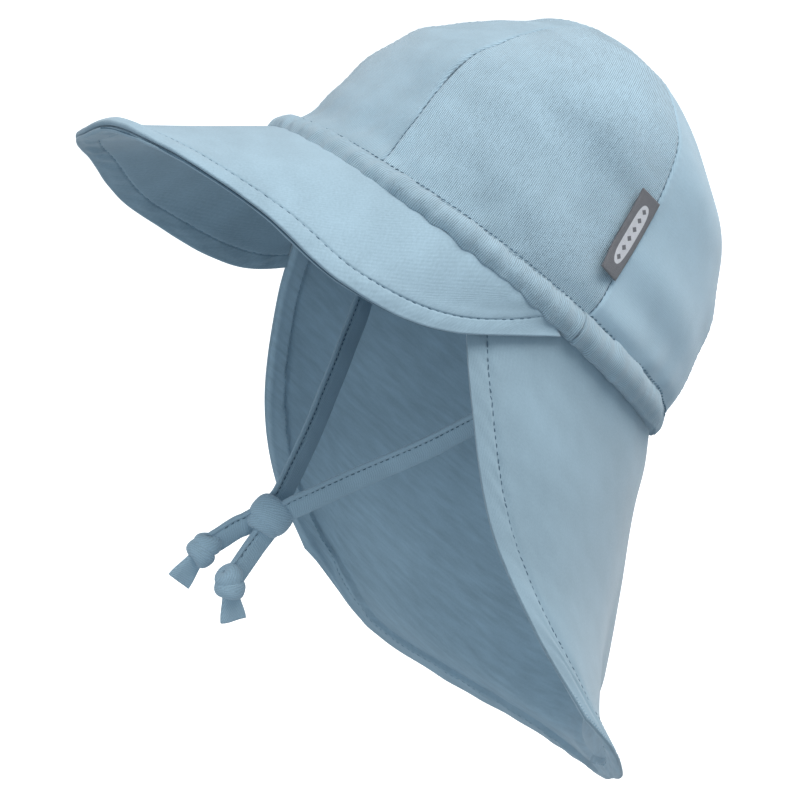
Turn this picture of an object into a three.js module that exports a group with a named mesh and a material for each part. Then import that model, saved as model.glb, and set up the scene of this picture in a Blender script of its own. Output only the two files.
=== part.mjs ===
// A toddler's jersey sun cap: six crown panels on a soft head band, a peak over the face, a neck flap
// that hangs behind, a sewn-in tab, and a tied chin strap with two short knotted tails.
// Millimetres. +X is the wearer's left, -Y the front, +Z up. The origin is the middle of the head
// opening. The cap leans back, so its own frame (crown, band, peak, tab) is turned about X, while the
// flap and the strap hang straight down and are drawn in the upright frame.

import * as THREE from "three";

// Head opening, measured over the lower edge of the band
const headLength = 170;
const headWidth = 138;
const leanBack = 42.7; // degrees that the front of the band is raised

// Crown
const crownHeight = 94;
const crownWall = 1.6;

// Peak, measured in the cap's own frame
const peakReach = 53; // from the front of the band forward to the edge
const peakDrop = 36; // from the band down to the front edge
const peakSag = 8; // how much lower the right side hangs, being soft
const peakWall = 2.4;
const peakEnd = 88; // degrees from the front at which the peak meets the band
const peakCornerWidth = 1.6;

// Neck flap, measured upright
const flapLength = 117; // from the back of the band down to the tip
const flapSpread = 28; // how far its sides stand out beyond the band
const flapBow = 16; // how far its front edges bow forward
const flapWall = 1.2;
const flapStart = 62; // degrees from the front at which its front edge leaves the band
const hemWidth = 5;
const hemWall = 2;

// Head band, a rolled casing thick enough for the peak and the flap side by side below it
const clearance = 0.3;
const bandHeightFront = 7;
const bandHeightSide = 10;
const bandProud = 2; // how far its outer edge stands out from the crown
const bandWall = peakWall + flapWall + 2 * clearance;

// Woven tab in the left side seam
const tabLength = 30;
const tabWidth = 9.5;
const tabThickness = 1;
const tabHeight = 24; // of its lower end above the opening
const tabLift = 1.2; // how far its loose edge stands off the crown

// Chin strap, a folded strip, and its knots
const strapWidth = 7.8;
const strapThickness = 2;
const chinKnotSize = 14.5;
const endKnotLength = 15;
const endKnotWidth = 11;

// Mesh steps
const panelAcrossSteps = 6;
const panelUpSteps = 14;
const bandSteps = 72;
const peakAcrossSteps = 48;
const peakOutSteps = 7;
const flapAcrossSteps = 44;
const flapDownSteps = 15;
const tabSteps = 8;
const strapSteps = 22;
const tailSteps = 6;
const strapSides = 10;
const knotSides = 12;

// Crown sections from the band to the top. up is a share of the crown's height, front and back of half
// the head length, side of half the head width.
const crownSections = [
  { at: 0, up: 0, front: 0.976, back: 0.976, side: 0.968 },
  { at: 0.17, up: 0.258, front: 0.886, back: 0.971, side: 0.945 },
  { at: 0.34, up: 0.51, front: 0.795, back: 0.879, side: 0.896 },
  { at: 0.5, up: 0.705, front: 0.668, back: 0.677, side: 0.849 },
  { at: 0.66, up: 0.846, front: 0.508, back: 0.421, side: 0.712 },
  { at: 0.8, up: 0.945, front: 0.365, back: 0.185, side: 0.51 },
  { at: 0.92, up: 0.985, front: 0.267, back: -0.03, side: 0.274 },
  { at: 1, up: 1, front: 0.187, back: -0.187, side: 0 },
];

// Where the crown's seams run, in degrees from the front, from the band to the top
const crownSeams = [
  { at: 0, front: 32, side: 94, back: 150 },
  { at: 0.17, front: 27.5, side: 95.5, back: 151 },
  { at: 0.34, front: 22.5, side: 97, back: 152 },
  { at: 0.5, front: 18, side: 98.5, back: 154 },
  { at: 0.66, front: 14, side: 100, back: 156.5 },
  { at: 0.8, front: 12, side: 101, back: 160 },
  { at: 0.92, front: 13, side: 102, back: 164 },
  { at: 1, front: 16, side: 103, back: 168 },
];

// Profile of the rolled band. out is a share of its wall, 0 on its outer edge, and up of its height.
const bandProfile = [
  { out: -0.08, up: 0 },
  { out: 0.06, up: 0.2 },
  { out: 0.1, up: 0.5 },
  { out: -0.03, up: 0.8 },
  { out: -0.32, up: 1 },
  { out: -0.95, up: 1 },
  { out: -1, up: 0.6 },
  { out: -1, up: 0.15 },
  { out: -0.92, up: 0 },
];

// Edge of the peak from its middle to the ear. side is a share of half the head width, forward runs
// from 1 at the middle of the edge to 0 at the ear, drop is a share of the peak's drop, and sag of the
// sag on the right.
const peakEdge = [
  { at: 0, side: 0, forward: 1, drop: 1, sag: 0 },
  { at: 0.167, side: 0.288, forward: 0.978, drop: 0.98, sag: 0.3 },
  { at: 0.333, side: 0.567, forward: 0.905, drop: 0.955, sag: 0.6 },
  { at: 0.5, side: 0.79, forward: 0.75, drop: 0.96, sag: 1 },
  { at: 0.667, side: 0.925, forward: 0.525, drop: 1.005, sag: 1 },
  { at: 0.833, side: 0.98, forward: 0.262, drop: 0.74, sag: 0.85 },
  { at: 1, side: 1, forward: 0, drop: 0, sag: 0 },
];

// Lower hem of the flap from the tip at the back to the corner at the side. side is a share of half
// the flap's width, back of half the head length, down of the flap's length.
const flapHem = [
  { at: 0, side: 0, back: 0.53, down: 1 },
  { at: 0.25, side: 0.355, back: 0.485, down: 0.97 },
  { at: 0.5, side: 0.665, back: 0.33, down: 0.875 },
  { at: 0.75, side: 0.885, back: 0.115, down: 0.725 },
  { at: 1, side: 1, back: -0.108, down: 0.525 },
];

// The flap's middle line at the back, from the band to the tip. inward is a share of half the head
// length: how far the cloth falls in towards the neck, before its hem flares out again.
const flapNape = [
  { at: 0, inward: 0 },
  { at: 0.2, inward: 0.02 },
  { at: 0.45, inward: 0.08 },
  { at: 0.7, inward: 0.13 },
  { at: 0.86, inward: 0.13 },
  { at: 0.94, inward: 0.085 },
  { at: 1, inward: 0 },
];

// The flap's front edge from the band to the corner, as shares of its bow.
const flapFrontEdge = [
  { at: 0, out: 0, forward: 0 },
  { at: 0.13, out: -0.24, forward: 0.33 },
  { at: 0.3, out: -0.08, forward: 0.69 },
  { at: 0.57, out: 0.28, forward: 1 },
  { at: 0.8, out: 0.41, forward: 0.75 },
  { at: 1, out: 0, forward: 0 },
];

// Routes of the chin strap and its tails, chosen by hand in the upright frame
const leftStrapRoute = [
  [63, -0.6, 2.6],
  [61.9, -2, -5],
  [60.2, -3.9, -12.4],
  [56.9, -6.2, -19],
  [52.5, -8.9, -24.8],
  [47.4, -12.2, -29.7],
  [42, -16, -33.9],
  [36.9, -20.2, -38],
  [32.1, -24.8, -42.1],
  [27.3, -29.7, -45.9],
  [22.5, -34.7, -49.5],
  [18, -40, -53],
  [14.1, -45.8, -56.4],
  [10.6, -51.9, -59.8],
  [7.5, -58.2, -63.2],
  [4.7, -64.7, -66.5],
];
const rightStrapRoute = [
  [-63, -0.6, 2.6],
  [-61.6, -2, -1.6],
  [-59, -4.4, -5.1],
  [-54.9, -7, -7.6],
  [-49.6, -10.9, -11.1],
  [-44.6, -15, -14.8],
  [-40.6, -19.2, -19.3],
  [-36.9, -23.6, -24.1],
  [-33.1, -27.9, -28.8],
  [-29.4, -32.3, -33.6],
  [-25.6, -36.8, -38.2],
  [-21.7, -41.2, -42.7],
  [-17.7, -45.7, -47.1],
  [-14, -50.3, -51.6],
  [-10.4, -55, -56.1],
  [-6.9, -59.8, -60.6],
  [-3.4, -64.8, -64.9],
];
const chinKnotPlace = [0, -70, -69.5];
const chinKnotToward = [0, -71, -69];
const leftTailRoute = [
  [1.8, -74, -75.9],
  [2.6, -76.8, -78.4],
  [3.3, -79.6, -81.2],
  [3.8, -81.9, -83.6],
];
const rightTailRoute = [
  [-2.3, -77.1, -71.5],
  [-3.1, -79.8, -72.6],
  [-3.8, -82.3, -74],
  [-4.4, -84.6, -75.5],
];
const leftEndKnotPlace = [5, -86.8, -88.4];
const leftTailEndPlace = [5, -86, -97];
const rightEndKnotPlace = [-6, -91, -79.4];
const rightTailEndPlace = [-6.5, -96.9, -86.2];

const fullTurn = 360; // degrees
const crownTop = 0.992; // share of the crown's rise at which the panels meet
const hemFold = 0.2; // share of the hem's width over which the flap thickens into it
const halvings = 30; // steps of the search for a height on the crown
const degrees = THREE.MathUtils.degToRad;
const lerp = THREE.MathUtils.lerp;
const halfLength = headLength / 2;
const halfWidth = headWidth / 2;

// A smooth value of one column of a table at a share from 0 to 1
function read(table, share, column) {
  let row = 0;
  while (row < table.length - 2 && share > table[row + 1].at) row += 1;
  const before = table[Math.max(row - 1, 0)];
  const from = table[row];
  const to = table[row + 1];
  const after = table[Math.min(row + 2, table.length - 1)];
  const span = to.at - from.at;
  const slopeFrom = ((to[column] - before[column]) / (to.at - before.at || span)) * span;
  const slopeTo = ((after[column] - from[column]) / (after.at - from.at || span)) * span;
  const t = (share - from.at) / span;
  const t2 = t * t;
  const t3 = t2 * t;
  return (
    (2 * t3 - 3 * t2 + 1) * from[column] +
    (t3 - 2 * t2 + t) * slopeFrom +
    (3 * t2 - 2 * t3) * to[column] +
    (t3 - t2) * slopeTo
  );
}

// From the leaning cap's frame to the upright one
function upright(point) {
  return point.clone().applyAxisAngle(new THREE.Vector3(1, 0, 0), degrees(-leanBack));
}

// A closed solid of cloth from its outer surface, point(u, v), with the wall laid on its inner side.
// u and v take the listed values from 0 to 1, and their steps' cross product points outwards.
function clothSolid(point, wall, across, along) {
  const nudge = 1e-3;
  const outer = [];
  const inner = [];
  for (const v of along) {
    for (const u of across) {
      const u0 = Math.max(u - nudge, 0);
      const u1 = Math.min(u + nudge, 1);
      const v0 = Math.max(v - nudge, 0);
      const v1 = Math.min(v + nudge, 1);
      const alongU = point(u1, v).sub(point(u0, v));
      const alongV = point(u, v1).sub(point(u, v0));
      const outward = alongU.cross(alongV).normalize();
      const place = point(u, v);
      outer.push(place);
      inner.push(place.clone().addScaledVector(outward, -wall(u, v)));
    }
  }
  const stepsU = across.length - 1;
  const stepsV = along.length - 1;
  const corner = (i, j) => j * (stepsU + 1) + i;
  const far = outer.length;
  const faces = [];
  const quad = (a, b, c, d) => faces.push(a, b, c, a, c, d);
  for (let j = 0; j < stepsV; j += 1) {
    for (let i = 0; i < stepsU; i += 1) {
      const ring = [corner(i, j), corner(i + 1, j), corner(i + 1, j + 1), corner(i, j + 1)];
      quad(...ring);
      quad(...ring.map((index) => index + far).reverse());
    }
  }
  for (let i = 0; i < stepsU; i += 1) {
    quad(corner(i + 1, 0), corner(i, 0), corner(i, 0) + far, corner(i + 1, 0) + far);
    quad(corner(i, stepsV), corner(i + 1, stepsV), corner(i + 1, stepsV) + far, corner(i, stepsV) + far);
  }
  for (let j = 0; j < stepsV; j += 1) {
    quad(corner(0, j), corner(0, j + 1), corner(0, j + 1) + far, corner(0, j) + far);
    quad(corner(stepsU, j + 1), corner(stepsU, j), corner(stepsU, j) + far, corner(stepsU, j + 1) + far);
  }
  return solid([...outer, ...inner], faces);
}

function solid(points, faces) {
  const geometry = new THREE.BufferGeometry().setFromPoints(points);
  geometry.setIndex(faces);
  geometry.computeVertexNormals();
  return geometry;
}

// A point of the crown's outer surface, in the cap's frame. angle is in degrees from the front towards
// the left ear.
function crownPoint(angle, share) {
  const turn = degrees(angle);
  const middle = read(crownSections, 1, "back") * share * halfLength;
  const front = -read(crownSections, share, "front") * halfLength;
  const back = read(crownSections, share, "back") * halfLength;
  const reach = Math.cos(turn) > 0 ? middle - front : back - middle;
  return new THREE.Vector3(
    read(crownSections, share, "side") * halfWidth * Math.sin(turn),
    middle - reach * Math.cos(turn),
    read(crownSections, share, "up") * crownHeight,
  );
}

// Share of the crown's rise at a height above the opening
function crownShareAt(height) {
  let low = 0;
  let high = 1;
  for (let i = 0; i < halvings; i += 1) {
    const half = (low + high) / 2;
    if (read(crownSections, half, "up") * crownHeight < height) low = half;
    else high = half;
  }
  return low;
}

function bandHeight(angle) {
  const frontward = Math.max(Math.cos(degrees(angle)), 0);
  return lerp(bandHeightSide, bandHeightFront, frontward ** 2);
}

// Level outward direction at an angle round the head
function outwards(angle) {
  const turn = degrees(angle);
  return new THREE.Vector3(Math.sin(turn) / halfWidth, -Math.cos(turn) / halfLength, 0).normalize();
}

// A point of the band, inset from its outer edge, at a height above the opening
function bandPoint(angle, inset, height) {
  const place = crownPoint(angle, crownShareAt(Math.max(height, 0)));
  place.addScaledVector(outwards(angle), bandProud - inset);
  place.z = height;
  return place;
}

const seams = [
  { column: "front", start: 0, turn: 1 },
  { column: "side", start: 0, turn: 1 },
  { column: "back", start: 0, turn: 1 },
  { column: "back", start: fullTurn, turn: -1 },
  { column: "side", start: fullTurn, turn: -1 },
  { column: "front", start: fullTurn, turn: -1 },
  { column: "front", start: fullTurn, turn: 1 },
];
const panelNames = ["left_front", "left_back", "back", "right_back", "right_front", "front"];

function seamAngle(seam, share) {
  return seam.start + seam.turn * read(crownSeams, share, seam.column);
}

// Degrees taken by half a clearance beside a seam
function seamTrim(angle, share, panelWidth) {
  const degreeLength = crownPoint(angle + 0.5, share).distanceTo(crownPoint(angle - 0.5, share));
  return Math.min(clearance / 2 / degreeLength, panelWidth / 3);
}

// Where a panel starts: its whole lower edge, also the inner one, clears the top of the band
function panelStart(angle) {
  const height = bandHeight(angle) + clearance;
  const foot = crownPoint(angle, crownShareAt(height));
  const slope = crownPoint(angle, crownShareAt(height + 1)).sub(foot);
  const lean = Math.hypot(slope.x, slope.y) / slope.length();
  return crownShareAt(height + crownWall * lean);
}

function crownPanel(index) {
  const [first, last] = [seams[index], seams[index + 1]];
  const point = (u, v) => {
    const baseAngle = lerp(seamAngle(first, 0), seamAngle(last, 0), u);
    const share = lerp(panelStart(baseAngle), crownTop, v);
    const from = seamAngle(first, share);
    const to = seamAngle(last, share);
    const start = from + seamTrim(from, share, to - from);
    const end = to - seamTrim(to, share, to - from);
    return crownPoint(lerp(start, end, u), share);
  };
  const walls = () => crownWall;
  return clothSolid(point, walls, evenly(panelAcrossSteps), evenly(panelUpSteps));
}

function headBand() {
  const points = [];
  const faces = [];
  const sides = bandProfile.length;
  for (let i = 0; i < bandSteps; i += 1) {
    const angle = (fullTurn * i) / bandSteps;
    bandProfile.forEach(({ out, up }, j) => {
      points.push(bandPoint(angle, -out * bandWall, up * bandHeight(angle)));
      const next = (i + 1) % bandSteps;
      const above = (j + 1) % sides;
      const [a, b, c, d] = [i * sides + j, next * sides + j, next * sides + above, i * sides + above];
      faces.push(a, b, c, a, c, d);
    });
  }
  return solid(points, faces);
}

// u runs from the left ear round the front to the right ear, v from the band to the edge
function peak() {
  const point = (u, v) => {
    const side = 1 - 2 * u;
    const share = Math.abs(side);
    const root = bandPoint(side * peakEnd, clearance, -clearance);
    const sag = side < 0 ? read(peakEdge, share, "sag") * peakSag : 0;
    const drop = read(peakEdge, share, "drop") * peakDrop + share ** 2 * peakCornerWidth;
    const edge = new THREE.Vector3(
      Math.sign(side) * read(peakEdge, share, "side") * halfWidth,
      -read(peakEdge, share, "forward") * (halfLength + peakReach),
      -drop - sag,
    );
    return root.lerp(edge, v);
  };
  return clothSolid(point, () => peakWall, evenly(peakAcrossSteps), evenly(peakOutSteps));
}

// The flap, upright. side runs from -1 at its right front edge through 0 at the back to 1 at the left,
// and fall from 0 at the band to 1 at the hem. Four edges carry the cloth between them.
function flapPoint(side, fall) {
  const share = Math.abs(side);
  const inset = clearance + peakWall + clearance;
  const top = (a) => upright(bandPoint(180 - a * (180 - flapStart), inset, -2 * clearance));
  const back = top(0);
  const hem = (a) =>
    new THREE.Vector3(
      read(flapHem, a, "side") * (halfWidth + flapSpread),
      read(flapHem, a, "back") * halfLength,
      back.z - read(flapHem, a, "down") * flapLength,
    );
  const nape = new THREE.Vector3(0, -read(flapNape, fall, "inward") * halfLength, 0);
  const front = new THREE.Vector3(
    read(flapFrontEdge, fall, "out") * flapBow,
    -read(flapFrontEdge, fall, "forward") * flapBow,
    0,
  );
  const place = top(share).lerp(hem(share), fall);
  place.addScaledVector(nape, 1 - share);
  place.addScaledVector(front, share);
  if (side < 0) place.x = -place.x;
  return place;
}

function neckFlap() {
  const sideHem = hemWidth / (2 * (halfWidth + flapSpread));
  const lowerHem = hemWidth / flapLength;
  const inside = 1 - hemFold / 2;
  const inHem = (u, v) => Math.min(u, 1 - u) < sideHem * inside || v > 1 - lowerHem * inside;
  const across = evenly(flapAcrossSteps).map((u) => lerp(sideHem, 1 - sideHem, u));
  const thick = sideHem * (1 - hemFold);
  const down = evenly(flapDownSteps).map((v) => v * (1 - lowerHem));
  return clothSolid(
    (u, v) => flapPoint(2 * u - 1, v),
    (u, v) => (inHem(u, v) ? hemWall : flapWall),
    [0, thick, ...across, 1 - thick, 1],
    [...down, 1 - lowerHem * (1 - hemFold), 1],
  );
}

// The tab lies forward from the left side seam. u runs from its loose edge to the seam.
function sewnTab() {
  const low = crownShareAt(tabHeight);
  const seam = seams[1];
  const onSeam = (share) => crownPoint(seamAngle(seam, share), share);
  const probe = 0.1; // share of the rise over which the seam's length is measured
  const riseOfTab = (tabLength * probe) / onSeam(low).distanceTo(onSeam(low + probe));
  const point = (u, v) => {
    const share = low + v * riseOfTab;
    const angle = seamAngle(seam, share);
    const degreeLength = crownPoint(angle - 0.5, share).distanceTo(crownPoint(angle + 0.5, share));
    const place = crownPoint(angle - ((1 - u) * tabWidth) / degreeLength, share);
    return place.addScaledVector(outwards(angle), clearance + tabThickness + (1 - u) * tabLift);
  };
  return clothSolid(point, () => tabThickness, evenly(2), evenly(tabSteps));
}

// A flat strip along a route. Its section's thickness lies across the head, its width along the cheek.
function strip(route, steps) {
  const outline = [];
  for (let i = 0; i < strapSides; i += 1) {
    const turn = (2 * Math.PI * i) / strapSides;
    const across = (Math.sin(turn) * strapThickness) / 2;
    outline.push(new THREE.Vector2(across, (-Math.cos(turn) * strapWidth) / 2));
  }
  const path = new THREE.CatmullRomCurve3(route.map((point) => new THREE.Vector3(...point)));
  const along = { steps, extrudePath: path, bevelEnabled: false };
  return new THREE.ExtrudeGeometry(new THREE.Shape(outline), along);
}

// A round knot, or one with the flared end of the strip below it, pointing from one place to another
function knot(profile, length, width, place, toward) {
  const outline = profile.map(({ along, radius }) => new THREE.Vector2((radius * width) / 2, along * length));
  const geometry = new THREE.LatheGeometry(outline, knotSides);
  const start = new THREE.Vector3(...place);
  const direction = new THREE.Vector3(...toward).sub(start).normalize();
  geometry.applyQuaternion(new THREE.Quaternion().setFromUnitVectors(new THREE.Vector3(0, 1, 0), direction));
  return geometry.translate(...place);
}

function evenly(steps) {
  return Array.from({ length: steps + 1 }, (unused, i) => i / steps);
}

// Outlines of the knots. along is a share of the length and radius of half the width.
const roundKnot = [
  { along: -0.5, radius: 0 },
  { along: -0.44, radius: 0.5 },
  { along: -0.22, radius: 0.93 },
  { along: 0, radius: 1 },
  { along: 0.22, radius: 0.93 },
  { along: 0.44, radius: 0.5 },
  { along: 0.5, radius: 0 },
];
const endKnot = [
  { along: -0.5, radius: 0 },
  { along: -0.44, radius: 0.5 },
  { along: -0.25, radius: 0.9 },
  { along: 0, radius: 1 },
  { along: 0.25, radius: 0.86 },
  { along: 0.44, radius: 0.55 },
  { along: 0.6, radius: 0.62 },
  { along: 0.86, radius: 0.82 },
  { along: 0.86, radius: 0 },
];

const jersey = new THREE.MeshStandardMaterial({ color: 0x9cb4c6, roughness: 0.9, metalness: 0 });
const woven = new THREE.MeshStandardMaterial({ color: 0x74757b, roughness: 0.8, metalness: 0 });

function piece(name, geometry, material) {
  const mesh = new THREE.Mesh(geometry, material);
  mesh.name = name;
  return mesh;
}

const leaning = new THREE.Group();
leaning.rotation.x = degrees(-leanBack);
panelNames.forEach((name, index) => leaning.add(piece(`crown_${name}`, crownPanel(index), jersey)));
leaning.add(piece("head_band", headBand(), jersey));
leaning.add(piece("peak", peak(), jersey));
leaning.add(piece("sewn_tab", sewnTab(), woven));

const sunCap = new THREE.Group();
sunCap.add(leaning);
sunCap.add(piece("neck_flap", neckFlap(), jersey));
sunCap.add(piece("strap_left", strip(leftStrapRoute, strapSteps), jersey));
sunCap.add(piece("strap_right", strip(rightStrapRoute, strapSteps), jersey));
sunCap.add(piece("tail_left", strip(leftTailRoute, tailSteps), jersey));
sunCap.add(piece("tail_right", strip(rightTailRoute, tailSteps), jersey));
const chinKnot = knot(roundKnot, chinKnotSize, chinKnotSize, chinKnotPlace, chinKnotToward);
const leftEndKnot = knot(endKnot, endKnotLength, endKnotWidth, leftEndKnotPlace, leftTailEndPlace);
const rightEndKnot = knot(endKnot, endKnotLength, endKnotWidth, rightEndKnotPlace, rightTailEndPlace);
sunCap.add(piece("chin_knot", chinKnot, jersey));
sunCap.add(piece("end_knot_left", leftEndKnot, jersey));
sunCap.add(piece("end_knot_right", rightEndKnot, jersey));

export default sunCap;
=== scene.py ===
# The looks of a toddler's jersey sun cap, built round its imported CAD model. Lengths are in millimetres
# until a mesh is made, and then in metres. +X is the wearer's left, -Y the front, +Z up.

import math

import bpy
import numpy as np
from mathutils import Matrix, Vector


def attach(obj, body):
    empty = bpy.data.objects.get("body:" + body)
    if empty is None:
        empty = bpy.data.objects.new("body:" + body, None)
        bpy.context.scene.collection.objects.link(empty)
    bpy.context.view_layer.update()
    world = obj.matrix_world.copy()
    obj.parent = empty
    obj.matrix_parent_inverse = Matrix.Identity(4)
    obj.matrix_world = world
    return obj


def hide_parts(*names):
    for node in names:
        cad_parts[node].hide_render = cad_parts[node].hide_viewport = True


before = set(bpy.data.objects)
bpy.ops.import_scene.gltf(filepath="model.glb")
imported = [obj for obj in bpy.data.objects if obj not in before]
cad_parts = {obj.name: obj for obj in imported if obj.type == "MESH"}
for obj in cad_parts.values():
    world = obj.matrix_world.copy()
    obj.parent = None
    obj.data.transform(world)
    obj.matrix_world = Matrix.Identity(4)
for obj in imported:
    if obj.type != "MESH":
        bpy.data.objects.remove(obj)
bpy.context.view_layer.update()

MM = 0.001

# Driving sizes, as in the part
HEAD_LENGTH = 170
HEAD_WIDTH = 138
LEAN_BACK = 42.7
CROWN_HEIGHT = 94
PEAK_REACH = 53
PEAK_DROP = 36
PEAK_WALL = 2.4
PEAK_END = 88
FLAP_LENGTH = 126.7
FLAP_SPREAD = 27
FLAP_BOW = 16
FLAP_WALL = 1.2
FLAP_START = 62
HEM_WIDTH = 7.2
HEM_WALL = 2.5
CLEARANCE = 0.3
BAND_HEIGHT_FRONT = 7
BAND_HEIGHT_SIDE = 10
BAND_PROUD = 2
BAND_WALL = PEAK_WALL + FLAP_WALL + 2 * CLEARANCE
TAB_LENGTH = 30
TAB_WIDTH = 9.5
TAB_THICKNESS = 1
TAB_HEIGHT = 24
TAB_LIFT = 1.2
STRAP_WIDTH = 7.8
STRAP_THICKNESS = 1.9

HALF_LENGTH = HEAD_LENGTH / 2
HALF_WIDTH = HEAD_WIDTH / 2

# Camera at the photograph's angle
CAMERA_AZIMUTH = 63.635
CAMERA_ELEVATION = 15.252
CAMERA_DISTANCE = 1200
CAMERA_RIGHT = -20.22
CAMERA_UP = -37.31
CAMERA_LENS = 164
CAMERA_SENSOR = 36
CAMERA_CLIP = (0.05, 60)  # in metres

# Tables of shares, as in the part
CROWN = {
    "at": [0, 0.17, 0.34, 0.5, 0.66, 0.8, 0.92, 1],
    "up": [0, 0.258, 0.51, 0.705, 0.846, 0.945, 0.985, 1],
    "front": [0.976, 0.886, 0.795, 0.668, 0.508, 0.365, 0.267, 0.187],
    "back": [0.976, 0.971, 0.879, 0.677, 0.421, 0.185, -0.03, -0.187],
    "side": [0.968, 0.945, 0.896, 0.849, 0.712, 0.51, 0.274, 0],
}
SEAMS = {
    "at": CROWN["at"],
    "front": [32, 27.5, 22.5, 18, 14, 12, 13, 16],
    "side": [94, 95.5, 97, 98.5, 100, 101, 102, 103],
    "back": [150, 151, 152, 154, 156.5, 160, 164, 168],
}
PEAK_EDGE = {  # from the right ear round the front to the left ear
    "at": [-1, -0.833, -0.667, -0.5, -0.333, -0.167, 0, 0.167, 0.333, 0.5, 0.667, 0.833, 1],
    "side": [-1, -0.955, -1.015, -0.805, -0.565, -0.267, 0, 0.324, 0.617, 0.808, 0.964, 0.97, 1],
    "forward": [0, 0.262, 0.576, 0.793, 0.901, 0.957, 0.975, 0.954, 0.885, 0.723, 0.516, 0.258, 0],
    "drop": [0.044, 0.97, 1.193, 1.12, 1.13, 1.12, 0.998, 0.943, 0.903, 0.872, 0.92, 0.69, 0.03],
}
FLAP_HEM = {  # from the right corner round the back to the left corner
    "at": [-1, -0.75, -0.5, -0.25, -0.1, 0, 0.1, 0.25, 0.5, 0.75, 1],
    "side": [-0.94, -0.94, -0.627, -0.356, -0.141, 0, 0.126, 0.359, 0.673, 0.907, 0.961],
    "back": [-0.186, 0.106, 0.32, 0.51, 0.681, 0.7, 0.655, 0.465, 0.326, 0.133, -0.03],
    "down": [0.455, 0.714, 0.832, 0.911, 0.992, 1.0, 0.955, 0.864, 0.78, 0.637, 0.516],
}
FLAP_NAPE = {
    "at": [0, 0.1, 0.2, 0.45, 0.7, 0.86, 0.94, 1],
    "inward": [0, -0.018, -0.002, 0.018, 0.08, 0.163, 0.089, 0],
}
FLAP_FRONT = {
    "at": [0, 0.13, 0.3, 0.57, 0.8, 1],
    "out": [0, -0.06, 0, 0, 0.14, 0],
    "forward": [0, 0.361, 0.735, 1.013, 0.685, 0],
}

# Routes of the chin strap, in metres, as in the part: from the band through the chin knot to the ends
LEFT_ROUTE = [
    (0.063, -0.0006, 0.0026), (0.0619, -0.002, -0.005), (0.0602, -0.0039, -0.0124),
    (0.0569, -0.0062, -0.019), (0.0525, -0.0089, -0.0248), (0.0474, -0.0122, -0.0297),
    (0.042, -0.016, -0.0339), (0.0369, -0.0202, -0.038), (0.0321, -0.0248, -0.0421),
    (0.0273, -0.0297, -0.0459), (0.0225, -0.0347, -0.0495), (0.018, -0.04, -0.053),
    (0.0141, -0.0458, -0.0564), (0.0106, -0.0519, -0.0598), (0.0075, -0.0582, -0.0632),
    (0.0047, -0.0647, -0.0665), (0.0026, -0.0695, -0.0706), (0.0018, -0.074, -0.0759),
    (0.0026, -0.0768, -0.0784), (0.0033, -0.0796, -0.0812), (0.0038, -0.0819, -0.0836),
    (0.0045, -0.0845, -0.0862),
]
RIGHT_ROUTE = [
    (-0.063, -0.0006, 0.0026), (-0.0616, -0.002, -0.0016), (-0.059, -0.0044, -0.0051),
    (-0.0549, -0.007, -0.0076), (-0.0496, -0.0109, -0.0111), (-0.0446, -0.015, -0.0148),
    (-0.0406, -0.0192, -0.0193), (-0.0369, -0.0236, -0.0241), (-0.0331, -0.0279, -0.0288),
    (-0.0294, -0.0323, -0.0336), (-0.0256, -0.0368, -0.0382), (-0.0217, -0.0412, -0.0427),
    (-0.0177, -0.0457, -0.0471), (-0.014, -0.0503, -0.0516), (-0.0104, -0.055, -0.0561),
    (-0.0069, -0.0598, -0.0606), (-0.0034, -0.0648, -0.0649), (-0.0012, -0.0708, -0.0682),
    (-0.0023, -0.0771, -0.0715), (-0.0031, -0.0798, -0.0726), (-0.0038, -0.0823, -0.074),
    (-0.0044, -0.0846, -0.0755), (-0.0051, -0.0875, -0.0772),
]
CHIN_KNOT = np.array([0, -70, -69.5])
LEFT_END_KNOT = np.array([5, -86.8, -88.4])
LEFT_TAIL_END = np.array([5, -86, -97])
RIGHT_END_KNOT = np.array([-6, -91, -79.4])
RIGHT_TAIL_END = np.array([-6.5, -96.9, -86.2])


def read(table, share, column):
    """A smooth value of one column of a table at shares from 0 to 1."""
    at = np.array(table["at"], float)
    values = np.array(table[column], float)
    share = np.asarray(share, float)
    last = len(at) - 1
    row = np.clip(np.searchsorted(at, share, side="left") - 1, 0, last - 1)
    before, after = np.maximum(row - 1, 0), np.minimum(row + 2, last)
    span = at[row + 1] - at[row]
    slope_from = (values[row + 1] - values[before]) / (at[row + 1] - at[before]) * span
    slope_to = (values[after] - values[row]) / (at[after] - at[row]) * span
    t = (share - at[row]) / span
    return (
        (2 * t**3 - 3 * t**2 + 1) * values[row]
        + (t**3 - 2 * t**2 + t) * slope_from
        + (3 * t**2 - 2 * t**3) * values[row + 1]
        + (t**3 - t**2) * slope_to
    )


def unit(v):
    return v / np.maximum(np.linalg.norm(v, axis=-1, keepdims=True), 1e-12)


def ease(low, high, x):
    """A smooth step from 0 at low to 1 at high."""
    t = np.clip((x - low) / (high - low), 0, 1)
    return t * t * (3 - 2 * t)


def between(start, full, fading, end, x):
    return ease(start, full, x) * (1 - ease(fading, end, x))


def bump(x, centre, width):
    return np.exp(-(((x - centre) / width) ** 2))


def spline(p, f):
    """A smooth curve between the second and third of four points, at shares of the way."""
    return 0.5 * (
        2 * p[1]
        + (p[2] - p[0]) * f
        + (2 * p[0] - 5 * p[1] + 4 * p[2] - p[3]) * f**2
        + (3 * p[1] - 3 * p[2] + p[3] - p[0]) * f**3
    )


def circle(count):
    return np.linspace(0, 2 * math.pi, count, endpoint=False)


def upright(points):
    """From the leaning cap's frame to the upright one."""
    a = math.radians(LEAN_BACK)
    x, y, z = points[..., 0], points[..., 1], points[..., 2]
    return np.stack([x, y * math.cos(a) + z * math.sin(a), -y * math.sin(a) + z * math.cos(a)], -1)


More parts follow.
